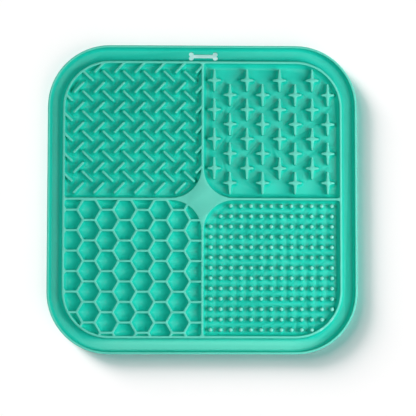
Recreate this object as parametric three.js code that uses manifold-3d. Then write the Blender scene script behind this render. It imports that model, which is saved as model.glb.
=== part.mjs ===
// A square lick mat, moulded in one piece from silicone rubber.
//
// A thin lip runs round the edge. Inside it a gutter catches what spills, and a thin wall parts the
// gutter from four pockets. Two cross walls meet in a flat star with hollow sides, and every pocket
// has its own texture: herringbone ridges, star posts, honeycomb cells and pins. All the tops are at
// one height. A bone shaped hole goes through the gutter's floor, to hang the mat up by.
//
// Millimetres, +Z up, the flat underside on Z = 0 and the middle of the mat on the Z axis.

import * as THREE from "three";
import { mergeVertices } from "three/addons/utils/BufferGeometryUtils.js";
import Module from "manifold-3d";

const wasm = await Module();
wasm.setup();

// Driving dimensions of the whole mat
const WIDTH = 200;
const DEPTH = 199.6;
const HEIGHT = 7;
const RELIEF = 4; // from the tops down to the floors
const FLOOR = HEIGHT - RELIEF;
const CORNER = 40; // radius of the outer corners
const EDGE = 0.4; // chamfer round the outer edges
const LIP = 1.0; // width of the lip's top
const WALL = 1.4; // width of the tops of the inner wall and the cross walls
const WALL_X = 89.5; // from the middle to the inner wall's centre line
const WALL_Y = 88.8;
const WALL_CORNER = 29.5; // radius of that centre line at the corners
const CORNER_STEPS = 8;
const HUB_RADIUS = 19.5; // hollow sides of the flat star in the middle
const HUB_STEPS = 6;
const POCKET_NOOK = 1.5; // radius where a cross wall meets the inner wall
const NOOK_STEPS = 2;
const SMALLEST_RADIUS = 0.4; // no corner of a pocket gets sharper than this on its way down
const INTO_WALL = 0.35; // how far a cut off ridge or star reaches into a wall

// The flank between a wall's top and a floor curves like a quarter of an ellipse
const FLANK = 3; // its width in plan
const CURVED = [0, 45, 90]; // steps down it, in degrees
const STRAIGHT = [0, 90]; // the small honeycomb cells have plain slopes

// Posts reach into the floor, so that each one joins it as one solid
const ROOT = 0.5;
const OVERHANG = 1; // cutting tools stick out this far

// Herringbone ridges: one leaning right and one leaning left in every cell
const RIDGE = { length: 9.6, width: 1.35, spread: 1.3 };
const RIDGE_CELL = { x: 13.12, y: 13.03 };
const RIDGES = [
  { angle: 46, x: -80.0, y: 85.3, firstColumn: 0, columns: 7, rows: 7 },
  { angle: -44, x: -74.2, y: 79.7, firstColumn: -1, columns: 7, rows: 6 },
];

// Star posts: two sets of columns, the second half a row lower
const STAR = { reachX: 4.3, reachY: 7.1, arm: 1.2, waist: 1.25, spread: 1.5, waistSpread: 1.9 };
const STAR_CELL = { x: 21.13, y: 19.06 };
const STARS = [
  { x: 7.6, y: 77.2 },
  { x: 17.7, y: 67.7 },
];
const STAR_COLUMNS = 4; // in each set
const STAR_ROWS = 4;

// Honeycomb cells: columns of flat topped hexagons, every second column half a cell lower.
// The wall round the pocket cuts off the last row, so that narrow slots are left of it
const CELL = { pitch: 13.15, step: 11.48, x: -84.4, y: -0.55 };
const CELL_COLUMNS = 8;
const CELL_ROWS = 8;

// Pins: a square field, with some left out where the mat's corner and the flat star are
const PIN = { radius: 1.3, spread: 0.7, sides: 6 };
const PIN_CELL = { x: 6.52, y: 6.645 };
const PIN_FIRST = { x: 5.3, y: -4.4 };
const PIN_ROWS = [
  { from: 2, to: 12, times: 1 },
  { from: 1, to: 12, times: 1 },
  { from: 0, to: 12, times: 9 },
  { from: 0, to: 11, times: 1 },
  { from: 0, to: 10, times: 1 },
];

// The bone shaped hole, from its middle
const BONE = { x: 0.4, y: 93.4, length: 18.8, knob: 1.6, knobRise: 1.27, shaft: 2.5, knobSteps: 8 };

/** A closed solid through outlines of as many points each, listed from the lowest up. */
function loft(rings) {
  const count = rings[0].points.length;
  const positions = rings.flatMap(({ points, z }) => points.flatMap((p) => [p.x, p.y, z]));
  const index = [];
  for (let ring = 0; ring + 1 < rings.length; ring += 1) {
    for (let i = 0; i < count; i += 1) {
      const here = ring * count + i;
      const next = ring * count + ((i + 1) % count);
      index.push(here, next, next + count);
      index.push(here, next + count, here + count);
    }
  }
  const top = (rings.length - 1) * count;
  const lid = THREE.ShapeUtils.triangulateShape(rings[rings.length - 1].points, []);
  const base = THREE.ShapeUtils.triangulateShape(rings[0].points, []);
  for (const [a, b, c] of lid) index.push(top + a, top + b, top + c);
  for (const [a, b, c] of base) index.push(a, c, b);
  const geometry = new THREE.BufferGeometry();
  geometry.setAttribute("position", new THREE.Float32BufferAttribute(positions, 3));
  geometry.setIndex(index);
  return toSolid(geometry);
}

/** A three.js geometry as a solid that can be joined and cut. */
function toSolid(geometry) {
  for (const name of ["normal", "uv"]) geometry.deleteAttribute(name);
  const merged = mergeVertices(geometry, 1e-4);
  const vertProperties = new Float32Array(merged.attributes.position.array);
  const triVerts = new Uint32Array(merged.index.array);
  return new wasm.Manifold(new wasm.Mesh({ numProp: 3, vertProperties, triVerts }));
}

/** A joined or cut solid as a three.js geometry again. */
function toGeometry(solid) {
  const { vertProperties, triVerts } = solid.getMesh();
  const geometry = new THREE.BufferGeometry();
  geometry.setAttribute("position", new THREE.BufferAttribute(new Float32Array(vertProperties), 3));
  geometry.setIndex(new THREE.BufferAttribute(new Uint32Array(triVerts), 1));
  geometry.computeVertexNormals();
  return geometry;
}

/** All the solids of a list in one. */
function joined(solids) {
  return solids.reduce((whole, solid) => whole.add(solid));
}

/** A rectangle's outline with a radius for each corner, drawn in on all sides by inset. */
function roundedOutline(box, inset = 0) {
  const corners = [
    { x: box.right, y: box.bottom, inX: -1, inY: 1, from: -90, ...box.rightBottom },
    { x: box.right, y: box.top, inX: -1, inY: -1, from: 0, ...box.rightTop },
    { x: box.left, y: box.top, inX: 1, inY: -1, from: 90, ...box.leftTop },
    { x: box.left, y: box.bottom, inX: 1, inY: 1, from: 180, ...box.leftBottom },
  ];
  const points = [];
  for (const { x, y, inX, inY, from, radius, steps } of corners) {
    const shrunk = Math.max(radius - inset, SMALLEST_RADIUS);
    const middle = new THREE.Vector2(x + inX * (inset + shrunk), y + inY * (inset + shrunk));
    for (let k = 0; k <= steps; k += 1) {
      const angle = THREE.MathUtils.degToRad(from + (90 * k) / steps);
      points.push(new THREE.Vector2(Math.cos(angle), Math.sin(angle)).multiplyScalar(shrunk).add(middle));
    }
  }
  return points;
}

/** A square box round the middle with one radius at all four corners. */
function centredBox(halfX, halfY, radius) {
  const corner = { radius, steps: CORNER_STEPS };
  const ends = { left: -halfX, right: halfX, bottom: -halfY, top: halfY };
  return { ...ends, rightBottom: corner, rightTop: corner, leftTop: corner, leftBottom: corner };
}

/** A cutting tool whose outline goes in, or out if sense is -1, down a flank of the given steps. */
function hollow(outlineAt, degreesDown = CURVED, sense = 1) {
  const rings = degreesDown.map((degrees) => {
    const angle = THREE.MathUtils.degToRad(degrees);
    const inset = FLANK * (1 - Math.cos(angle));
    return { points: outlineAt(sense * inset), z: HEIGHT - RELIEF * Math.sin(angle) };
  });
  rings.reverse();
  rings.push({ points: outlineAt(0), z: HEIGHT + OVERHANG });
  return loft(rings);
}

/** A post that stands in a pocket, with sides that spread towards the floor. */
function post(foot, head) {
  return loft([
    { points: foot, z: FLOOR - ROOT },
    { points: head, z: HEIGHT },
  ]);
}

/** The outline of one pocket, on the side of the mat that the signs name. */
function pocketBox(signX, signY) {
  const outer = { radius: WALL_CORNER - WALL / 2, steps: CORNER_STEPS };
  const hub = { radius: HUB_RADIUS, steps: HUB_STEPS };
  const nook = { radius: POCKET_NOOK, steps: NOOK_STEPS };
  const near = WALL / 2;
  const farX = WALL_X - WALL / 2;
  const farY = WALL_Y - WALL / 2;
  const corner = (x, y) => {
    if (x !== signX && y !== signY) return hub;
    return x === signX && y === signY ? outer : nook;
  };
  return {
    left: signX > 0 ? near : -farX,
    right: signX > 0 ? farX : -near,
    bottom: signY > 0 ? near : -farY,
    top: signY > 0 ? farY : -near,
    rightBottom: corner(1, -1),
    rightTop: corner(1, 1),
    leftTop: corner(-1, 1),
    leftBottom: corner(-1, -1),
  };
}

/** The solid that hollows out a whole pocket. */
function pocket(signX, signY) {
  const box = pocketBox(signX, signY);
  return hollow((inset) => roundedOutline(box, inset));
}

/** What a texture may fill: its pocket, and a little of the walls around it. */
function pocketRoom(signX, signY) {
  const points = roundedOutline(pocketBox(signX, signY), -INTO_WALL);
  return loft([
    { points, z: FLOOR - ROOT },
    { points, z: HEIGHT },
  ]);
}

/** The plain slab, with a small chamfer round both edges. */
function slab() {
  const box = centredBox(WIDTH / 2, DEPTH / 2, CORNER);
  return loft([
    { points: roundedOutline(box, EDGE), z: 0 },
    { points: roundedOutline(box), z: EDGE },
    { points: roundedOutline(box), z: HEIGHT - EDGE },
    { points: roundedOutline(box, EDGE), z: HEIGHT },
  ]);
}

/** The ring that the gutter hollows out, between the lip and the inner wall. */
function gutter() {
  const rim = LIP + EDGE;
  const half = WALL / 2;
  const lipBox = centredBox(WIDTH / 2 - rim, DEPTH / 2 - rim, CORNER - rim);
  const wallBox = centredBox(WALL_X + half, WALL_Y + half, WALL_CORNER + half);
  const outside = hollow((inset) => roundedOutline(lipBox, inset));
  const core = hollow((inset) => roundedOutline(wallBox, inset), CURVED, -1);
  return outside.subtract(core);
}

/** A ridge's outline: a bar with pointed ends. */
function barOutline(x, y, degrees, length, width) {
  const ends = [
    [length / 2, 0],
    [length / 2 - width / 2, width / 2],
    [-length / 2 + width / 2, width / 2],
    [-length / 2, 0],
    [-length / 2 + width / 2, -width / 2],
    [length / 2 - width / 2, -width / 2],
  ];
  const middle = new THREE.Vector2(x, y);
  const angle = THREE.MathUtils.degToRad(degrees);
  return ends.map(([along, across]) =>
    new THREE.Vector2(along, across).rotateAround(new THREE.Vector2(), angle).add(middle),
  );
}

/** The herringbone field. */
function ridges() {
  const bars = [];
  for (const { angle, x, y, firstColumn, columns, rows } of RIDGES) {
    for (let row = 0; row < rows; row += 1) {
      for (let column = firstColumn; column < firstColumn + columns; column += 1) {
        const midX = x + RIDGE_CELL.x * column;
        const midY = y - RIDGE_CELL.y * row;
        const { length, width, spread } = RIDGE;
        const head = barOutline(midX, midY, angle, length, width);
        const foot = barOutline(midX, midY, angle, length + 2 * spread, width + 2 * spread);
        bars.push(post(foot, head));
      }
    }
  }
  return joined(bars).intersect(pocketRoom(-1, 1));
}

/** A four pointed star's outline, with thin arms and a hollow corner between each two. */
function starOutline(x, y, reachX, reachY, arm, waist) {
  const half = arm / 2;
  const quarter = [
    [reachX, half],
    [waist, waist],
    [half, reachY],
  ];
  const mirrored = quarter.map(([a, b]) => [-a, b]).reverse();
  const upper = [...quarter, ...mirrored];
  const lower = upper.map(([a, b]) => [-a, -b]);
  return [...upper, ...lower].map(([a, b]) => new THREE.Vector2(x + a, y + b));
}

/** The field of star posts. */
function stars() {
  const posts = [];
  const { reachX, reachY, arm, waist, spread, waistSpread } = STAR;
  for (const { x, y } of STARS) {
    for (let column = 0; column < STAR_COLUMNS; column += 1) {
      for (let row = 0; row < STAR_ROWS; row += 1) {
        const midX = x + STAR_CELL.x * column;
        const midY = y - STAR_CELL.y * row;
        const head = starOutline(midX, midY, reachX, reachY, arm, waist);
        const footArm = arm + 2 * spread;
        const footWaist = waist + waistSpread;
        const foot = starOutline(midX, midY, reachX + spread, reachY + spread, footArm, footWaist);
        posts.push(post(foot, head));
      }
    }
  }
  return joined(posts).intersect(pocketRoom(1, 1));
}

/** A regular polygon, its first corner on the right, with the given distance to its sides. */
function polygonOutline(x, y, apothem, sides) {
  const radius = apothem / Math.cos(Math.PI / sides);
  const points = [];
  for (let k = 0; k < sides; k += 1) {
    const angle = (2 * Math.PI * k) / sides;
    points.push(new THREE.Vector2(x + radius * Math.cos(angle), y + radius * Math.sin(angle)));
  }
  return points;
}

/** The solid that hollows out all the honeycomb's cells. */
function cells() {
  const hollows = [];
  const apothem = (CELL.pitch - WALL) / 2;
  for (let column = 0; column < CELL_COLUMNS; column += 1) {
    const lower = column % 2 === 0 ? 0 : CELL.pitch / 2;
    for (let row = 0; row < CELL_ROWS; row += 1) {
      const x = CELL.x + CELL.step * column;
      const y = CELL.y - lower - CELL.pitch * row;
      hollows.push(hollow((inset) => polygonOutline(x, y, apothem - inset, 6), STRAIGHT));
    }
  }
  return joined(hollows).intersect(pocket(-1, -1));
}

/** The field of pins. */
function pins() {
  const posts = [];
  let row = 0;
  for (const { from, to, times } of PIN_ROWS) {
    for (let turn = 0; turn < times; turn += 1) {
      for (let column = from; column <= to; column += 1) {
        const x = PIN_FIRST.x + PIN_CELL.x * column;
        const y = PIN_FIRST.y - PIN_CELL.y * row;
        const head = polygonOutline(x, y, PIN.radius, PIN.sides);
        const foot = polygonOutline(x, y, PIN.radius + PIN.spread, PIN.sides);
        posts.push(post(foot, head));
      }
      row += 1;
    }
  }
  return joined(posts);
}

/** The bone's outline: two round knobs at each end of a straight shaft. */
function boneOutline() {
  const knobX = BONE.length / 2 - BONE.knob;
  const notch = THREE.MathUtils.radToDeg(Math.asin(BONE.knobRise / BONE.knob));
  const shaftSide = 180 - THREE.MathUtils.radToDeg(Math.asin((BONE.shaft / 2 - BONE.knobRise) / BONE.knob));
  const quarter = [];
  for (let k = 0; k <= BONE.knobSteps; k += 1) {
    const share = k / BONE.knobSteps;
    const angle = THREE.MathUtils.degToRad(-notch + (shaftSide + notch) * share);
    quarter.push([knobX + BONE.knob * Math.cos(angle), BONE.knobRise + BONE.knob * Math.sin(angle)]);
  }
  const mirrored = quarter.map(([a, b]) => [-a, b]).reverse();
  const upper = [...quarter, ...mirrored.slice(0, -1)];
  const lower = upper.map(([a, b]) => [-a, -b]);
  return [...upper, ...lower].map(([a, b]) => new THREE.Vector2(BONE.x + a, BONE.y + b));
}

/** The hole that the mat hangs by. */
function boneHole() {
  const points = boneOutline();
  return loft([
    { points, z: -OVERHANG },
    { points, z: HEIGHT + OVERHANG },
  ]);
}

/** The whole mat as one solid. */
function mat() {
  const hollows = joined([pocket(-1, 1), pocket(1, 1), pocket(1, -1), cells(), gutter()]);
  const textures = joined([ridges(), stars(), pins()]);
  return slab().subtract(hollows).add(textures).subtract(boneHole());
}

const silicone = new THREE.MeshStandardMaterial({ color: 0x35c4ab, roughness: 0.5, metalness: 0 });

const matMesh = new THREE.Mesh(toGeometry(mat()), silicone);
matMesh.name = "mat";

const lickMat = new THREE.Group();
lickMat.add(matMesh);

export default lickMat;
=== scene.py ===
# %% [markdown]
# # A silicone lick mat
# The real mat is one piece of soft silicone rubber, pressed in a mould. Food is smeared over it, and
# a dog or a cat licks it out of four textured pockets. The imported model is the frame that every
# size here agrees with, so it is loaded first.

# %% Load the imported model
import math

import bmesh
import bpy
from mathutils import Matrix, Vector


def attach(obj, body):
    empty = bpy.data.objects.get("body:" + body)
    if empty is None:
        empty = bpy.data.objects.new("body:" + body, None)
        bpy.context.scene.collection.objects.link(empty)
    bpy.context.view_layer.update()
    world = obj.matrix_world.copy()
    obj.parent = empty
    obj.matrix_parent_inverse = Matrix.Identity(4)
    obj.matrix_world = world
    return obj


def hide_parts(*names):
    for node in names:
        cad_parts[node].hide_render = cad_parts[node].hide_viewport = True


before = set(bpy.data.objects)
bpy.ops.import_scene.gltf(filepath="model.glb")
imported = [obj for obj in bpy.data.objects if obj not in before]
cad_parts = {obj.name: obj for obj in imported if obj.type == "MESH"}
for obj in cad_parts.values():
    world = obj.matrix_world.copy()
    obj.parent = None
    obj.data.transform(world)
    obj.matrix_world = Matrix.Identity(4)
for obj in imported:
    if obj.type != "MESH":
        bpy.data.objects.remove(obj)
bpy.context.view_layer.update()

# %% [markdown]
# ## The sizes
# A moulded mat is drawn in millimetres, so the working meshes are in millimetres too, and one
# scaling at the end turns them into metres. Everything that stands up on the mat has the same
# height, and everything between has the same floor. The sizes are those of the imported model.

# %% Sizes of the whole mat
MM = 0.001
WIDTH = 200
DEPTH = 199.6
HEIGHT = 7
RELIEF = 4  # from the tops down to the floors
FLOOR = HEIGHT - RELIEF
CORNER = 40  # radius of the outer corners
EDGE = 0.4  # rounding of the outer edges
LIP = 1.0  # width of the lip's top
WALL = 1.4  # width of the walls' tops
HALF_WALL = WALL / 2
WALL_X = 89.5  # from the middle to the inner wall's centre line
WALL_Y = 88.8
WALL_CORNER = 29.5  # radius of that centre line
print("mat", WIDTH, "x", DEPTH, "x", HEIGHT, "mm")

# %% [markdown]
# ## Outlines with round corners
# Every part of the mat is drawn in plan first, as a face with a few corners. A vertex bevel rounds
# each corner, as a drawing program's fillet does. A curve could be drawn instead, but a face is
# ready to be raised or stacked into a solid. Most outlines are rectangles, so one function gives
# the corners of any rectangle, for any distance that the whole outline is spread outwards.

# %% Draw an outline
SMALLEST_RADIUS = 0.4  # no corner gets sharper than this when its outline is drawn in
CORNER_SIGNS = ((1, -1), (1, 1), (-1, 1), (-1, -1))  # round a rectangle from its lower right


def rounded_box(left, right, bottom, top, radii, segments):
    """Returns a function that gives the rectangle's corners at a spread."""

    def corners_at(spread):
        corners = []
        for (out_x, out_y), radius, steps in zip(CORNER_SIGNS, radii, segments):
            x = (right if out_x > 0 else left) + out_x * spread
            y = (top if out_y > 0 else bottom) + out_y * spread
            corners.append((x, y, max(radius + spread, SMALLEST_RADIUS), steps))
        return corners

    return corners_at


def outline(bm, corners, z):
    """A flat face at height z, from (x, y, cut, segments). cut is how much of each side goes."""
    older = set(bm.faces)
    start = bm.faces.new([bm.verts.new((x, y, z)) for x, y, _, _ in corners])
    for vert, (_, _, cut, segments) in zip(list(start.verts), corners):
        bmesh.ops.bevel(
            bm,
            geom=[vert],
            offset=cut,
            offset_type="OFFSET",
            segments=segments,
            profile=0.5,
            affect="VERTICES",
            material=-1,
        )
    return next(face for face in bm.faces if face not in older)


print("a small square's corners:", rounded_box(-1, 1, -1, 1, [0.5] * 4, [2] * 4)(0))

# %% [markdown]
# ## The slab
# The mat starts as a plain slab with rounded corners. A cube with bevels would do as well, but the
# gutter needs the same outline a little smaller, so one helper draws both. The outline is raised
# to the mat's height, and its edges are rounded a little, because a sharp edge of rubber tears.

# %% The plain slab
CORNER_SEGMENTS = 16
EDGE_SEGMENTS = 3


def centred(half_x, half_y, radius):
    """A rounded rectangle round the middle."""
    return rounded_box(-half_x, half_x, -half_y, half_y, [radius] * 4, [CORNER_SEGMENTS] * 4)


def working_object(name, bm):
    """An object in the scene with this bmesh, which is freed."""
    mesh = bpy.data.meshes.new(name)
    bm.to_mesh(mesh)
    bm.free()
    made = bpy.data.objects.new(name, mesh)
    bpy.context.scene.collection.objects.link(made)
    return made


slab = bmesh.new()
plan = centred(WIDTH / 2, DEPTH / 2, CORNER)
base = outline(slab, plan(0), 0)
raised = bmesh.ops.extrude_face_region(slab, geom=[base])["geom"]
top_verts = [item for item in raised if isinstance(item, bmesh.types.BMVert)]
bmesh.ops.translate(slab, verts=top_verts, vec=(0, 0, HEIGHT))
bmesh.ops.recalc_face_normals(slab, faces=slab.faces)
level_edges = [edge for edge in slab.edges if edge.verts[0].co.z == edge.verts[1].co.z]
bmesh.ops.bevel(
    slab,
    geom=level_edges,
    offset=EDGE,
    offset_type="OFFSET",
    segments=EDGE_SEGMENTS,
    profile=0.5,
    affect="EDGES",
    material=-1,
)
body = working_object("lick_mat", slab)
print("slab faces", len(body.data.polygons))

# %% [markdown]
# ## One flank for every shape
# A mould is milled with round cutters, so each wall, post and cell has the same soft shape from
# the side: the top's edge is rounded a little, and below it the flank curves out to the floor like
# a quarter of an ellipse. Stacked outlines make such a shape, each drawn a little further out and
# lower than the one before. A Bevel modifier on the finished mat could round the tops' edges too,
# but it can't curve flanks that run into each other. One function works out the steps for any
# width of flank.

# %% The steps down a flank
ROUNDING = 0.25  # of the tops' edges
FLANK = 3  # how far a wall's flank reaches out in plan
ROUNDING_TURNS = (0, 45, 90)  # in degrees
FLANK_TURNS = (22.5, 45, 67.5, 90)


def flank_steps(width):
    """(how far outwards, height) for each outline from a top down to the floor."""
    steps = []
    for turn in map(math.radians, ROUNDING_TURNS):
        out = -ROUNDING * (1 - math.sin(turn))
        steps.append((out, HEIGHT - ROUNDING * (1 - math.cos(turn))))
    for turn in map(math.radians, FLANK_TURNS):
        out = width * (1 - math.cos(turn))
        drop = (RELIEF - ROUNDING) * math.sin(turn)
        steps.append((out, HEIGHT - ROUNDING - drop))
    return steps


print("flank steps in mm:", [(round(out, 2), round(z, 2)) for out, z in flank_steps(FLANK)])

# %% [markdown]
# ## Solids between outlines
# Bridging the outlines one after another makes the sides, and the first and the last face stay as
# the ends, so the solid is closed. A post widens on its way down and is rooted in the floor. A
# hollow is the tool that cuts a pocket, so it narrows instead, and it starts above the mat.

# %% Stack outlines into a solid
ROOT = 0.5  # posts reach this far into the floor
OVERHANG = 1  # cutting tools stick out this far


def stack(bm, faces):
    """Turns flat faces that lie one below the other into one closed solid."""
    loops = [list(face.edges) for face in faces]
    bmesh.ops.delete(bm, geom=faces[1:-1], context="FACES_ONLY")
    for upper, lower in zip(loops, loops[1:]):
        bmesh.ops.bridge_loops(bm, edges=upper + lower)
    bmesh.ops.recalc_face_normals(bm, faces=bm.faces)


def post(corners_at, width=FLANK):
    """A solid that widens down to the floor. corners_at(spread) gives its corners that far out."""
    bm = bmesh.new()
    steps = [*flank_steps(width), (width, FLOOR - ROOT)]
    stack(bm, [outline(bm, corners_at(spread), z) for spread, z in steps])
    return bm


def hollow(corners_at, width=FLANK):
    """A cutting tool that narrows down to the floor."""
    bm = bmesh.new()
    steps = [(-ROUNDING, HEIGHT + OVERHANG), *flank_steps(width)]
    stack(bm, [outline(bm, corners_at(-spread), z) for spread, z in steps])
    return bm


# %% [markdown]
# ## Joining and cutting
# The real mat is one skin without seams. Shapes that only stand inside each other would look much
# the same from above, but Boolean modifiers make them one closed solid. The result is taken as a
# plain mesh after each step, so the next one starts from a finished solid.

# %% One step of joining or cutting


def combine(solid, tool, operation):
    """Joins a tool onto a solid, cuts it out, or keeps what both share. The tool is used up."""
    if isinstance(tool, bmesh.types.BMesh):
        tool = working_object("tool", tool)
    step = solid.modifiers.new("step", "BOOLEAN")
    step.operation = operation
    step.solver = "MANIFOLD"
    step.object = tool
    evaluated = solid.evaluated_get(bpy.context.evaluated_depsgraph_get())
    result = bpy.data.meshes.new_from_object(evaluated)
    solid.modifiers.clear()
    solid.data = result
    bpy.data.objects.remove(tool)


# %% [markdown]
# ## The gutter
# A wide basin is cut into the slab, which leaves the thin lip round the edge, and a block goes
# back in. What stays open between the two is the gutter that catches what spills. A basin and a
# block are simpler to draw than the ring between them.

# %% The gutter
GUTTER_FLANK = 2  # both sides of the gutter are steeper than the pockets' walls
RIM = LIP + EDGE  # from the mat's side to where the basin starts

basin = centred(WIDTH / 2 - RIM, DEPTH / 2 - RIM, CORNER - RIM)
combine(body, hollow(basin, GUTTER_FLANK), "DIFFERENCE")
block = centred(WALL_X + HALF_WALL, WALL_Y + HALF_WALL, WALL_CORNER + HALF_WALL)
combine(body, post(block, GUTTER_FLANK), "UNION")
print("with the gutter", len(body.data.polygons))

# %% [markdown]
# ## The hole to hang it by
# A bone shaped hole goes right through the gutter, so that the mat can hang on a hook. The bone
# could be drawn as one outline. Four round drills and one slot are simpler, and each is a size
# that can be measured in the photograph.

# %% The bone shaped hole
BONE = {"x": 0.4, "y": 93.4, "length": 18.8, "knob": 1.6, "knob_rise": 1.27, "shaft": 2.5}
KNOB_SEGMENTS = 24


def bone_tools():
    """The five tools that cut the bone: a slot, and a drill for each knob."""
    knob_x = BONE["length"] / 2 - BONE["knob"]
    tall = HEIGHT + 2 * OVERHANG
    slot = bmesh.new()
    bmesh.ops.create_cube(slot, size=1)
    bmesh.ops.scale(slot, verts=slot.verts, vec=(2 * knob_x, BONE["shaft"], tall))
    bmesh.ops.translate(slot, verts=slot.verts, vec=(BONE["x"], BONE["y"], HEIGHT / 2))
    yield slot
    for side in (-1, 1):
        for rise in (-1, 1):
            drill = bmesh.new()
            bmesh.ops.create_cone(
                drill,
                cap_ends=True,
                segments=KNOB_SEGMENTS,
                radius1=BONE["knob"],
                radius2=BONE["knob"],
                depth=tall,
            )
            place = (BONE["x"] + side * knob_x, BONE["y"] + rise * BONE["knob_rise"], HEIGHT / 2)
            bmesh.ops.translate(drill, verts=drill.verts, vec=place)
            yield drill


for tool in bone_tools():
    combine(body, tool, "DIFFERENCE")
print("with the bone", len(body.data.polygons))

# %% [markdown]
# ## The four pockets
# Each pocket is a rectangle with a large round corner at the mat's corner, another at the flat
# star in the middle, and two small ones where the walls meet. The four corners in the middle leave
# the star between them. The walls and the star could be added to a floor instead, but a cut leaves
# them all at once, with their flanks. Three pockets are cut here, and the honeycomb's own cells
# hollow out the fourth.

# %% The pockets
POCKET_CORNERS = {
    "outer": {"radius": WALL_CORNER - HALF_WALL, "segments": 12},
    "middle": {"radius": 19.5, "segments": 10},
    "nook": {"radius": 1.5, "segments": 3},
}


def pocket_corners(sign_x, sign_y):
    """The outline of the pocket on the side of the mat that the signs name."""
    far_x = WALL_X - HALF_WALL
    far_y = WALL_Y - HALF_WALL
    left, right = (HALF_WALL, far_x) if sign_x > 0 else (-far_x, -HALF_WALL)
    bottom, top = (HALF_WALL, far_y) if sign_y > 0 else (-far_y, -HALF_WALL)
    kinds = {(sign_x, sign_y): "outer", (-sign_x, -sign_y): "middle"}
    corners = [POCKET_CORNERS[kinds.get(signs, "nook")] for signs in CORNER_SIGNS]
    radii = [corner["radius"] for corner in corners]
    segments = [corner["segments"] for corner in corners]
    return rounded_box(left, right, bottom, top, radii, segments)


for sign_x, sign_y in ((-1, 1), (1, 1), (1, -1)):
    combine(body, hollow(pocket_corners(sign_x, sign_y)), "DIFFERENCE")
print("with three pockets", len(body.data.polygons))

# %% [markdown]
# ## Filling a pocket with a pattern
# A texture repeats one small shape on a grid, and the pocket's wall cuts off what doesn't fit. So
# the shape is made once and copied to every place, the whole field is cut to the pocket, and only
# then it joins the mat. Cut off shapes reach a little into the wall, so that no gap is left.

# %% Copies of a shape, cut to a pocket
INTO_WALL = 0.35


def copies(template, places):
    """One bmesh with the template at every (x, y), the template itself freed."""
    mesh = bpy.data.meshes.new("template")
    template.to_mesh(mesh)
    template.free()
    bm = bmesh.new()
    for x, y in places:
        before = len(bm.verts)
        bm.from_mesh(mesh)
        bm.verts.ensure_lookup_table()
        bmesh.ops.translate(bm, verts=bm.verts[before:], vec=(x, y, 0))
    return bm


def pocket_room(sign_x, sign_y):
    """What a texture may fill: its pocket, and a little of the walls around it."""
    bm = bmesh.new()
    corners = pocket_corners(sign_x, sign_y)(INTO_WALL)
    stack(bm, [outline(bm, corners, z) for z in (HEIGHT + OVERHANG, FLOOR - 2 * ROOT)])
    return bm


# %% [markdown]
# ## The honeycomb
# Here the cells are hollows, and what is left between them are the walls. The cells are six sided
# at the top and turn round on the way down, so each is a small bowl that a tongue can reach into.
# Walls drawn as a net of bars would need a joint at each crossing, and would leave a flat floor.

# %% The honeycomb
CELL_GRID = {"x": -84.4, "y": -0.55, "columns": 8, "rows": 8}  # from the first cell's place
CELL_STEP = {"x": 11.48, "y": 13.15}
CELL_FLANK = 5.4
CELL_CORNER = 0.7  # radius at the top
CELL_ROUND = 0.9  # radius at the floor, as a share of the cell's half width there
CELL_SEGMENTS = 3


def cell_corners(spread):
    """A hexagon's corners, rounder the further its outline is drawn in."""
    apothem = (CELL_STEP["y"] - WALL) / 2 + spread
    share = min(max(-spread / CELL_FLANK, 0), 1)
    radius = CELL_CORNER * (1 - share) + CELL_ROUND * apothem * share
    cut = radius * math.tan(math.pi / 6)
    reach = apothem / math.cos(math.pi / 6)
    turns = [math.pi / 3 * k for k in range(6)]
    return [(reach * math.cos(turn), reach * math.sin(turn), cut, CELL_SEGMENTS) for turn in turns]


cell_places = []
for column in range(CELL_GRID["columns"]):
    x = CELL_GRID["x"] + CELL_STEP["x"] * column
    lower = CELL_STEP["y"] / 2 * (column % 2)
    for row in range(CELL_GRID["rows"]):
        cell_places.append((x, CELL_GRID["y"] - lower - CELL_STEP["y"] * row))
honeycomb = working_object("honeycomb", copies(hollow(cell_corners, CELL_FLANK), cell_places))
combine(honeycomb, hollow(pocket_corners(-1, -1)), "INTERSECT")
combine(body, honeycomb, "DIFFERENCE")
print("with the honeycomb of", len(cell_places), "cells:", len(body.data.polygons))

# %% [markdown]
# ## The herringbone
# Short bars lean left and right in turn, and their flanks meet in the valleys, so hardly any flat
# floor is left. One cell with a whole zigzag could be repeated, but the bars don't touch, and the
# edges of the pocket need more of one lean than of the other. So each lean is a grid of its own,
# and the two grids lie half a step apart.

# %% The herringbone
RIDGE = {"length": 9.7, "width": 1.5}
RIDGE_STEP = {"x": 13.12, "y": 13.03}
LEANS = [  # the angle in degrees, and the place of the first bar
    {"angle": 46, "x": -80.0, "y": 85.3, "columns": range(0, 7), "rows": range(0, 7)},
    {"angle": -44, "x": -74.2, "y": 79.7, "columns": range(-1, 6), "rows": range(0, 6)},
]
RIDGE_SEGMENTS = 3
ROUND_END = 0.96  # of half the width, so that the ends are nearly half circles


def ridge_corners(spread):
    """A bar's corners along X."""
    half_width = RIDGE["width"] / 2 + spread
    half_length = RIDGE["length"] / 2 + spread
    cut = ROUND_END * half_width
    return [(x * half_length, y * half_width, cut, RIDGE_SEGMENTS) for x, y in CORNER_SIGNS]


for lean in LEANS:
    ridge = post(ridge_corners)
    turn = Matrix.Rotation(math.radians(lean["angle"]), 3, "Z")
    bmesh.ops.rotate(ridge, verts=ridge.verts, matrix=turn)
    places = []
    for row in lean["rows"]:
        for column in lean["columns"]:
            x = lean["x"] + RIDGE_STEP["x"] * column
            places.append((x, lean["y"] - RIDGE_STEP["y"] * row))
    field = working_object("ridges", copies(ridge, places))
    combine(field, pocket_room(-1, 1), "INTERSECT")
    combine(body, field, "UNION")
print("with the herringbone", len(body.data.polygons))

# %% [markdown]
# ## The stars
# Each star is a post with four thin points on top. Towards the floor its waist fills out, so it
# ends in a broad diamond that keeps the thin points upright. A star spread evenly would only
# become a larger star. So the top and the foot are both drawn, and each step down is a mix.

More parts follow.
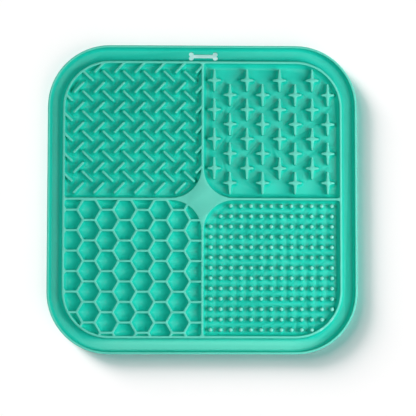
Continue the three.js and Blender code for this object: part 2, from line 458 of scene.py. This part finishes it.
# %% The stars
STAR_HEAD = {"reach_x": 4.2, "reach_y": 7.2, "tip": 0.55, "waist_x": 1.0, "waist_y": 1.0, "cut": 1.1}
STAR_FOOT = {"reach_x": 6.2, "reach_y": 7.4, "tip": 1.0, "waist_x": 2.9, "waist_y": 3.5, "cut": 1.5}
STAR_STEP = {"x": 21.13, "y": 19.06}
STAR_SETS = [{"x": 7.6, "y": 77.2}, {"x": 17.7, "y": 67.7}]  # the first star of each grid
STAR_COLUMNS = 4
STAR_ROWS = 4
TIP_ROUND = 0.9  # of half a point's width
TIP_SEGMENTS = 2
WAIST_SEGMENTS = 3


def star_corners(spread):
    """A four pointed star's corners, which turn into a diamond's towards the floor."""
    share = spread / FLANK
    size = {name: STAR_HEAD[name] * (1 - share) + STAR_FOOT[name] * share for name in STAR_HEAD}
    tip = size["tip"]
    quarter = [
        (size["reach_x"], tip, TIP_ROUND * tip, TIP_SEGMENTS),
        (size["waist_x"], size["waist_y"], size["cut"], WAIST_SEGMENTS),
        (tip, size["reach_y"], TIP_ROUND * tip, TIP_SEGMENTS),
    ]
    upper = quarter + [(-x, y, cut, steps) for x, y, cut, steps in reversed(quarter)]
    return upper + [(-x, -y, cut, steps) for x, y, cut, steps in upper]


star_places = []
for first in STAR_SETS:
    for column in range(STAR_COLUMNS):
        x = first["x"] + STAR_STEP["x"] * column
        for row in range(STAR_ROWS):
            star_places.append((x, first["y"] - STAR_STEP["y"] * row))
field = working_object("stars", copies(post(star_corners), star_places))
combine(field, pocket_room(1, 1), "INTERSECT")
combine(body, field, "UNION")
print("with", len(star_places), "stars:", len(body.data.polygons))

# %% [markdown]
# ## The pins
# Small round pins with domed ends fill the last pocket. A pin could be a cone with bevels, but its
# dome, shaft and foot are one flowing line, so that line is drawn and spun once round the pin's
# axis, as a lathe does. Some places stay empty at the mat's corner and at the flat star.

# %% The pins
PIN_PROFILE = [  # radius and height
    (0, HEIGHT),
    (0.8, 6.88),
    (1.2, 6.5),
    (1.4, 5.8),
    (1.5, 4.4),
    (1.8, 3.4),
    (2.4, FLOOR),
    (2.4, FLOOR - ROOT),
    (0, FLOOR - ROOT),
]
PIN_SIDES = 10
PIN_STEP = {"x": 6.52, "y": 6.645}
PIN_FIRST = {"x": 5.3, "y": -4.4}
PIN_ROWS = [  # first and last column of a row, and how many rows are like it
    {"from": 2, "to": 12, "times": 1},
    {"from": 1, "to": 12, "times": 1},
    {"from": 0, "to": 12, "times": 9},
    {"from": 0, "to": 11, "times": 1},
    {"from": 0, "to": 10, "times": 1},
]
TOUCHING = 0.0005  # mm, points closer than this are one


def pin():
    """One pin, turned round its own axis."""
    bm = bmesh.new()
    verts = [bm.verts.new((radius, 0, z)) for radius, z in PIN_PROFILE]
    edges = [bm.edges.new(pair) for pair in zip(verts, verts[1:])]
    bmesh.ops.spin(
        bm,
        geom=verts + edges,
        cent=(0, 0, 0),
        axis=(0, 0, 1),
        angle=2 * math.pi,
        steps=PIN_SIDES,
        use_merge=True,
    )
    bmesh.ops.remove_doubles(bm, verts=bm.verts, dist=TOUCHING)
    bmesh.ops.recalc_face_normals(bm, faces=bm.faces)
    return bm


pin_places = []
rows = [line for line in PIN_ROWS for _ in range(line["times"])]
for row, line in enumerate(rows):
    y = PIN_FIRST["y"] - PIN_STEP["y"] * row
    for column in range(line["from"], line["to"] + 1):
        pin_places.append((PIN_FIRST["x"] + PIN_STEP["x"] * column, y))
combine(body, copies(pin(), pin_places), "UNION")
print("with", len(pin_places), "pins:", len(body.data.polygons))

# %% [markdown]
# ## Finish the mesh
# The joined solid is scaled to metres. Flat shading would show every step of the flanks, and fully
# smooth shading would blur the thin tops. Smooth shading with sharp edges above an angle keeps the
# flanks soft and the real edges crisp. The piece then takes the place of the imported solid.

# %% Finish the mesh
SHARP = 50  # degrees between two faces

bm = bmesh.new()
bm.from_mesh(body.data)
bmesh.ops.remove_doubles(bm, verts=bm.verts, dist=TOUCHING)
open_edges = [edge for edge in bm.edges if not edge.is_manifold]
bmesh.ops.scale(bm, verts=bm.verts, vec=(MM, MM, MM))
print("triangles", sum(len(face.verts) - 2 for face in bm.faces), "open edges", len(open_edges))
bm.to_mesh(body.data)
bm.free()
body.data.shade_smooth()
body.data.set_sharp_from_angle(angle=math.radians(SHARP))

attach(body, "root")
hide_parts("mat")

# %% [markdown]
# ## Building materials from nodes
# A material is a small net of nodes. These helpers each add one node and hand back what it puts
# out, so that a material below reads like a recipe.

# %% Helpers for nodes
NOISE_LOW = 0.3  # nearly all of a noise's values lie between these two
NOISE_HIGH = 0.7


def node(tree, kind, inputs=None, **settings):
    """A new node. settings are its properties. Each input gets a number, a colour or a link."""
    made = tree.nodes.new(kind)
    for name, value in settings.items():
        setattr(made, name, value)
    for socket, value in (inputs or {}).items():
        if isinstance(value, bpy.types.NodeSocket):
            tree.links.new(value, made.inputs[socket])
        else:
            made.inputs[socket].default_value = value
    return made


def maths(tree, operation, first, second):
    """One sum or comparison of two values."""
    return node(tree, "ShaderNodeMath", {0: first, 1: second}, operation=operation).outputs[0]


def ranged(tree, value, low, high, to_low=0.0, to_high=1.0):
    """A value moved from one range into another, and held at its ends."""
    inputs = {"Value": value, "From Min": low, "From Max": high, "To Min": to_low, "To Max": to_high}
    return node(tree, "ShaderNodeMapRange", inputs).outputs["Result"]


def spread_noise(tree, value, low=0.0, high=1.0):
    """A noise's values, spread over the whole of another range."""
    return ranged(tree, value, NOISE_LOW, NOISE_HIGH, low, high)


def blend(tree, share, first, second):
    """Two colours mixed. Sockets 6 and 7 of a Mix node are its colours, and output 2 is the mix."""
    return node(tree, "ShaderNodeMix", {0: share, 6: first, 7: second}, data_type="RGBA").outputs[2]


def noise(tree, place, size):
    """Cloudy noise whose blots are about this many millimetres wide."""
    inputs = {"Vector": place, "Scale": 1 / (size * MM), "Detail": 2.0}
    return node(tree, "ShaderNodeTexNoise", inputs).outputs[0]


# %% [markdown]
# ## Effects that both materials share
# Nothing real is one even colour. The mat and the paper under it both have slow drifts in tone,
# and both have a fine grain that catches the light. Each effect is a node group, built once, and
# each material gives it its own size. The groups read Object coordinates, which are metres here.

# %% The node groups


def noise_group(name, result, settings):
    """A group whose Size is in millimetres, and which puts out one noise under a name."""
    made = bpy.data.node_groups.new(name, "ShaderNodeTree")
    made.interface.new_socket("Size", in_out="INPUT", socket_type="NodeSocketFloat")
    made.interface.new_socket(result, in_out="OUTPUT", socket_type="NodeSocketFloat")
    given = made.nodes.new("NodeGroupInput").outputs
    results = made.nodes.new("NodeGroupOutput").inputs
    place = made.nodes.new("ShaderNodeTexCoord").outputs["Object"]
    scale = maths(made, "DIVIDE", 1 / MM, given["Size"])
    inputs = {"Vector": place, "Scale": scale, **settings}
    clouds = node(made, "ShaderNodeTexNoise", inputs).outputs[0]
    made.links.new(clouds, results[result])
    return made


def placed(tree, made, size):
    """A group placed in a material, with its size in millimetres. Returns what it puts out."""
    instance = tree.nodes.new("ShaderNodeGroup")
    instance.node_tree = made
    instance.inputs["Size"].default_value = size
    return instance.outputs[0]


drift = noise_group("drift", "Tone", {"Detail": 3.0})
grain = noise_group("grain", "Height", {"Detail": 4.0, "Roughness": 0.6})
print("groups", [made.name for made in bpy.data.node_groups])

# %% [markdown]
# ## Starting a material
# A number that is the same all over a surface is set on the shader itself. Grain could be painted
# as light and dark dots, but those would stay when the light moves. So it is a bump, which tilts
# the surface a little wherever the grain rises or falls.

# %% Helpers for materials
GRAIN_DEPTH = 0.05  # mm


def new_material(name, numbers):
    """A material with these numbers on its shader. Returns it, its node tree and its shader."""
    made = bpy.data.materials.new(name)
    made.use_nodes = True
    shader = made.node_tree.nodes["Principled BSDF"]
    for socket, value in numbers.items():
        shader.inputs[socket].default_value = value
    return made, made.node_tree, shader


def add_grain(tree, shader, size, strength):
    """Grain as a bump, with its size in millimetres."""
    height = placed(tree, grain, size)
    inputs = {"Height": height, "Strength": strength, "Distance": GRAIN_DEPTH * MM}
    bump = node(tree, "ShaderNodeBump", inputs)
    tree.links.new(bump.outputs["Normal"], shader.inputs["Normal"])


# %% [markdown]
# ## Masks
# Painted highlights are laid on through masks, which are 0 where the skin keeps its own colour and 1
# where it is painted paler. They could be painted by hand, but here sizes in millimetres say where
# the highlights go, so the masks follow the shapes. A mask fades in between two places, and masks
# are multiplied to hold all at once.

# %% Helpers for masks


def axes(tree, place):
    """The X, Y and Z of a place."""
    return node(tree, "ShaderNodeSeparateXYZ", {0: place}).outputs


def fade(tree, value, start, end):
    """0 at the start and 1 at the end, both in millimetres."""
    return ranged(tree, value, start * MM, end * MM)


def product(tree, first, *others):
    """Masks multiplied, so it is 1 only where all of them are."""
    for other in others:
        first = maths(tree, "MULTIPLY", first, other)
    return first


# %% [markdown]
# ## The tops' painted highlight
# Whatever stands up is painted paler, as a highlight where the light catches the tops, so the height
# above the table finds it. A little noise keeps it from being even.

# %% The tops' painted highlight
# The tops are painted paler here as a highlight.
TOP_HIGHLIGHT = {"height_from": 6.68, "height_to": 6.93, "blot": 9, "least": 0.85}


def painted_top_highlight(tree, place):
    """1 on the tops, where a highlight is painted, a little uneven."""
    height = axes(tree, place)["Z"]
    uneven = spread_noise(tree, noise(tree, place, TOP_HIGHLIGHT["blot"]), TOP_HIGHLIGHT["least"], 1)
    return product(tree, fade(tree, height, TOP_HIGHLIGHT["height_from"], TOP_HIGHLIGHT["height_to"]), uneven)


# %% [markdown]
# ## The pins' painted highlight
# The pins' round ends are painted paler as a highlight too. A pin's end drops away below the height
# that finds the other tops. So pins are found by their grid: every point is moved into one cell of
# it, and its distance from the pin in there decides. Four straight edges, and a slanting one along
# the flat star, keep the mask to the pins' pocket.

# %% The pins' painted highlight
# Where the pins' round ends are painted paler, as a highlight.
PIN_END = {"height_from": 6.0, "height_to": 6.8, "radius_from": 1.6, "radius_to": 1.3}
PIN_AREA = [
    {"axis": "X", "from": 1, "to": 2},
    {"axis": "X", "from": 87, "to": 86},
    {"axis": "Y", "from": -1, "to": -2},
    {"axis": "Y", "from": -87, "to": -86},
]
PAST_STAR = {"from": 18, "to": 19}  # of X minus Y


def vector_maths(tree, operation, *vectors):
    """One sum of whole vectors, each an x, y and z."""
    return node(tree, "ShaderNodeVectorMath", dict(enumerate(vectors)), operation=operation).outputs


def pin_end_highlight(tree, place):
    """1 on the round ends of the pins, where a highlight is painted."""
    at = axes(tree, place)
    first = (PIN_FIRST["x"] * MM, PIN_FIRST["y"] * MM, 0)
    half_cell = Vector((PIN_STEP["x"] / 2 * MM, PIN_STEP["y"] / 2 * MM, 1))
    from_first = vector_maths(tree, "SUBTRACT", place, first)[0]
    from_pin = vector_maths(tree, "WRAP", from_first, half_cell, -half_cell)[0]
    in_plan = vector_maths(tree, "MULTIPLY", from_pin, (1, 1, 0))[0]
    away = vector_maths(tree, "LENGTH", in_plan)["Value"]
    return product(
        tree,
        fade(tree, away, PIN_END["radius_from"], PIN_END["radius_to"]),
        fade(tree, at["Z"], PIN_END["height_from"], PIN_END["height_to"]),
        fade(tree, maths(tree, "SUBTRACT", at["X"], at["Y"]), PAST_STAR["from"], PAST_STAR["to"]),
        *[fade(tree, at[side["axis"]], side["from"], side["to"]) for side in PIN_AREA],
    )


# %% [markdown]
# ## The gutter's painted highlight
# The gutter's lower side is paler in the photograph, so a highlight is painted there. Its mask is
# the gutter's floor and the foot of its flanks, strongest in the middle of that side.

# %% The gutter's painted highlight
# Where the gutter's lower side is painted paler, as a highlight.
GUTTER_HIGHLIGHT = {"height_from": 4.2, "height_to": 3.05, "y_from": -89, "y_to": -92, "x_from": 90, "x_to": 55}


def gutter_highlight(tree, place):
    """1 along the middle of the gutter's lower side, where a highlight is painted."""
    at = axes(tree, place)
    from_middle = maths(tree, "ABSOLUTE", at["X"], 0)
    return product(
        tree,
        fade(tree, at["Z"], GUTTER_HIGHLIGHT["height_from"], GUTTER_HIGHLIGHT["height_to"]),
        fade(tree, at["Y"], GUTTER_HIGHLIGHT["y_from"], GUTTER_HIGHLIGHT["y_to"]),
        fade(tree, from_middle, GUTTER_HIGHLIGHT["x_from"], GUTTER_HIGHLIGHT["x_to"]),
    )


# %% [markdown]
# ## The silicone
# Moulded silicone is one deep teal all through, with a satin skin. The three masks blend paler teals
# over it as painted highlights, and the tops are duller too. Light goes a little way into silicone,
# which a small subsurface share shows, and a fine grain keeps the gloss from looking wet.

# %% The silicone
DARK_TEAL = (0.008, 0.595, 0.455, 1)
TEAL = (0.012, 0.655, 0.505, 1)
# Paler teals, painted as highlights on the gutter's lower side, the tops and the pins' ends
GUTTER_HIGHLIGHT_TEAL = (0.11, 0.73, 0.57, 1)
TOP_HIGHLIGHT_TEAL = (0.15, 0.75, 0.595, 1)
PIN_HIGHLIGHT_TEAL = (0.26, 0.8, 0.68, 1)
TEAL_BLOT = 45  # mm
SATIN = {"blot": 4, "glossiest": 0.36, "dullest": 0.42, "tops_add": 0.2}
SKIN_GRAIN = {"size": 0.6, "strength": 0.25}
SKIN_NUMBERS = {
    "IOR": 1.41,
    "Subsurface Weight": 0.05,
    "Subsurface Radius": (0.3, 1.0, 0.9),
    "Subsurface Scale": 1.5 * MM,
}

silicone, tree, skin = new_material("silicone", SKIN_NUMBERS)
place = tree.nodes.new("ShaderNodeTexCoord").outputs["Object"]

top_highlight = painted_top_highlight(tree, place)
colour = blend(tree, spread_noise(tree, placed(tree, drift, TEAL_BLOT)), DARK_TEAL, TEAL)
# Painted highlights in paler teal, over the silicone's own drifting tone
colour = blend(tree, gutter_highlight(tree, place), colour, GUTTER_HIGHLIGHT_TEAL)
colour = blend(tree, top_highlight, colour, TOP_HIGHLIGHT_TEAL)
colour = blend(tree, pin_end_highlight(tree, place), colour, PIN_HIGHLIGHT_TEAL)
tree.links.new(colour, skin.inputs["Base Color"])

blots = noise(tree, place, SATIN["blot"])
satin = spread_noise(tree, blots, SATIN["glossiest"], SATIN["dullest"])
duller = maths(tree, "MULTIPLY", top_highlight, SATIN["tops_add"])
tree.links.new(maths(tree, "ADD", satin, duller), skin.inputs["Roughness"])

add_grain(tree, skin, SKIN_GRAIN["size"], SKIN_GRAIN["strength"])
body.data.materials.clear()
body.data.materials.append(silicone)
print("silicone nodes", len(tree.nodes))

# %% [markdown]
# ## The camera
# The photograph looks nearly straight down, with the mat a little left of and above the middle.
# The camera hangs 0.9 m above the tops of the walls. Its tilt and its lens are such that the mat's
# edges, walls, stars and pins fall where the photograph has them.

# %% The camera
DISTANCE = 900  # from the lens to the tops of the walls
PIXELS = 416  # across the photograph
PIXELS_PER_MM = 1.5514  # in the middle of it
SENSOR = 36  # mm
AIM = (3.58, -5.81, HEIGHT)  # the point in the middle of the picture
LOOK = (0.0183, 0.0568, -0.9982)
ROLL = 0.0029  # radians

camera_data = bpy.data.cameras.new("camera")
camera_data.sensor_width = SENSOR
camera_data.lens = PIXELS_PER_MM * DISTANCE / PIXELS * SENSOR
camera = bpy.data.objects.new("camera", camera_data)
bpy.context.scene.collection.objects.link(camera)
back = -Vector(LOOK).normalized()
up = back.cross(Vector((math.cos(ROLL), math.sin(ROLL), 0))).normalized()
right = up.cross(back)
turn = Matrix((right, up, back)).transposed().to_4x4()
camera.matrix_world = Matrix.Translation((Vector(AIM) + back * DISTANCE) * MM) @ turn
bpy.context.scene.camera = camera
print("lens", round(camera_data.lens, 2))

# %% [markdown]
# ## The paper underneath
# The mat lies on plain white paper, which runs far past the picture on all sides. A plain white
# world would look the same from above, but it couldn't catch the mat's shadow.

# %% The paper
PAPER_SIZE = 20  # metres
PAPER_GREYS = ((0.92, 0.92, 0.92, 1), (0.94, 0.94, 0.94, 1))
PAPER_BLOT = 80  # mm
PAPER_GRAIN = {"size": 1.5, "strength": 0.1}
PAPER_NUMBERS = {"Roughness": 0.9, "Specular IOR Level": 0.0}

sheet = bmesh.new()
bmesh.ops.create_grid(sheet, x_segments=1, y_segments=1, size=PAPER_SIZE / 2)
floor = working_object("floor", sheet)
paper, tree, surface = new_material("paper", PAPER_NUMBERS)
grey = blend(tree, placed(tree, drift, PAPER_BLOT), *PAPER_GREYS)
tree.links.new(grey, surface.inputs["Base Color"])
add_grain(tree, surface, PAPER_GRAIN["size"], PAPER_GRAIN["strength"])
floor.data.materials.append(paper)
print("paper", PAPER_SIZE, "m wide")

# %% [markdown]
# ## Helpers for lights
# Each light gets a direction, and a weight instead of a power: at weight 1 it shows white what
# faces it, however far away it hangs. Light linking lets a light reach only one object, so the mat
# and the paper under it are lit apart from each other. Both still throw their shadows.

# %% Helpers for lights


def direction(azimuth, elevation):
    """Azimuth 0 is from the right and 90 from the top of the picture."""
    a = math.radians(azimuth)
    e = math.radians(elevation)
    return Vector((math.cos(a) * math.cos(e), math.sin(a) * math.cos(e), math.sin(e)))


def add_light(data, towards, distance, lit):
    """Puts a light in that direction, turned to the mat, that reaches only one object."""
    light = bpy.data.objects.new(data.name, data)
    bpy.context.scene.collection.objects.link(light)
    light.location = towards * distance
    light.rotation_euler = towards.to_track_quat("Z", "Y").to_euler()
    receivers = bpy.data.collections.new(data.name + " reaches")
    receivers.objects.link(lit)
    light.light_linking.receiver_collection = receivers
    return light


# %% [markdown]
# ## The lights on the mat
# A large softbox at the right lights the mat, and a weaker one fills in from the left. Neither is
# seen in the gloss. Two more panels are seen only there: one from the side draws a soft streak in
# every cell, and one overhead brightens what lies flat. So the gloss and the depth of the shadows
# are set apart from each other.

# %% The panels
SOFTBOXES = {  # angles in degrees, distances and sizes in metres
    "key": {"azimuth": -14, "elevation": 36, "distance": 0.7, "size": (0.5, 0.5), "weight": 1.13},
    "fill": {"azimuth": 180, "elevation": 55, "distance": 1.0, "size": (0.5, 0.5), "weight": 0.35},
}
GLOSS_PANELS = {
    "side": {"azimuth": 0, "elevation": 40, "distance": 0.7, "size": (0.6, 0.5), "weight": 0.4},
    "top": {"azimuth": 0, "elevation": 82, "distance": 1.2, "size": (0.6, 0.36), "weight": 0.19},
}


def add_panel(name, panel):
    """A flat light on the mat, from one line of a table."""
    data = bpy.data.lights.new(name, "AREA")
    data.shape = "RECTANGLE"
    data.size, data.size_y = panel["size"]
    data.energy = (math.pi * panel["distance"]) ** 2 * panel["weight"]
    towards = direction(panel["azimuth"], panel["elevation"])
    return add_light(data, towards, panel["distance"], body)


for name, panel in SOFTBOXES.items():
    add_panel(name, panel).visible_glossy = False
for name, panel in GLOSS_PANELS.items():
    add_panel(name, panel).visible_diffuse = False
print("panels", [*SOFTBOXES, *GLOSS_PANELS])

# %% [markdown]
# ## The lights on the paper
# The photograph shows the paper pure white, with a soft shadow to the lower right and a faint one
# to the upper left. Two lights from the upper left throw the first, which is dark and short from
# the high one and long from the low one. A weaker light throws the second. An overhead light in
# the mat's own green tints both shadows.

# %% The sky lights
SKY_DISTANCE = 1.0  # metres, though only the direction of such a light counts
WARM = (1, 0.84, 0.85)
GREEN = (0.02, 1, 0.93)
SKY_LIGHTS = {  # angles in degrees, and width is the part of the sky that shines
    "low": {"azimuth": 139, "elevation": 18.7, "width": 23, "colour": WARM, "weight": 1.5},
    "high": {"azimuth": 139, "elevation": 32, "width": 48, "colour": WARM, "weight": 0.74},
    "back": {"azimuth": -41, "elevation": 35, "width": 49, "colour": WARM, "weight": 0.34},
    "overhead": {"azimuth": 90, "elevation": 90, "width": 30, "colour": GREEN, "weight": 0.17},
}

for name, line in SKY_LIGHTS.items():
    data = bpy.data.lights.new(name, "SUN")
    data.angle = math.radians(line["width"])
    data.color = line["colour"]
    data.energy = math.pi * line["weight"]
    add_light(data, direction(line["azimuth"], line["elevation"]), SKY_DISTANCE, floor)
print("sky lights", [*SKY_LIGHTS])

# %% [markdown]
# ## The light through the bone
# Pale paper shows through the hole, where the sky lights hardly reach. A narrow lamp from straight
# above lights it. Its round spot lies a little below the bone, so that it ends inside the mat's
# edge and no bright ring shows on the paper.

# %% The lamp over the bone
BONE_LAMP = {"height": 1000, "spot_radius": 24, "below_bone": 18, "bulb_radius": 1}  # mm
BONE_LIGHT = {"colour": (0.96, 0.93, 1), "weight": 0.37, "soft_edge": 0.02}

data = bpy.data.lights.new("bone lamp", "SPOT")
data.spot_size = 2 * math.atan(BONE_LAMP["spot_radius"] / BONE_LAMP["height"])
data.spot_blend = BONE_LIGHT["soft_edge"]
data.shadow_soft_size = BONE_LAMP["bulb_radius"] * MM
data.color = BONE_LIGHT["colour"]
data.energy = (2 * math.pi * BONE_LAMP["height"] * MM) ** 2 * BONE_LIGHT["weight"]
lamp = add_light(data, Vector((0, 0, 1)), BONE_LAMP["height"] * MM, floor)
lamp.location += Vector((BONE["x"], BONE["y"] - BONE_LAMP["below_bone"], 0)) * MM
print("bone lamp at", [round(side, 3) for side in lamp.location])

# %% [markdown]
# ## The room around
# A dim even light fills the deepest shadows, and the camera sees plain white where the paper ends.
# The Standard view shows colours as they are, so the white stays white.

# %% The world
AMBIENT = 0.02
WHITE = (1, 1, 1, 1)

world = bpy.data.worlds.new("studio")
bpy.context.scene.world = world
world.use_nodes = True
sky = world.node_tree
ambient = sky.nodes["Background"]
ambient.inputs["Color"].default_value = WHITE
ambient.inputs["Strength"].default_value = AMBIENT
backdrop = node(sky, "ShaderNodeBackground", {"Color": WHITE}).outputs["Background"]
seen = node(sky, "ShaderNodeLightPath").outputs["Is Camera Ray"]
choice = {0: seen, 1: ambient.outputs["Background"], 2: backdrop}
mixed = node(sky, "ShaderNodeMixShader", choice).outputs["Shader"]
sky.links.new(mixed, sky.nodes["World Output"].inputs["Surface"])
bpy.context.scene.view_settings.view_transform = "Standard"
print("even light", AMBIENT)
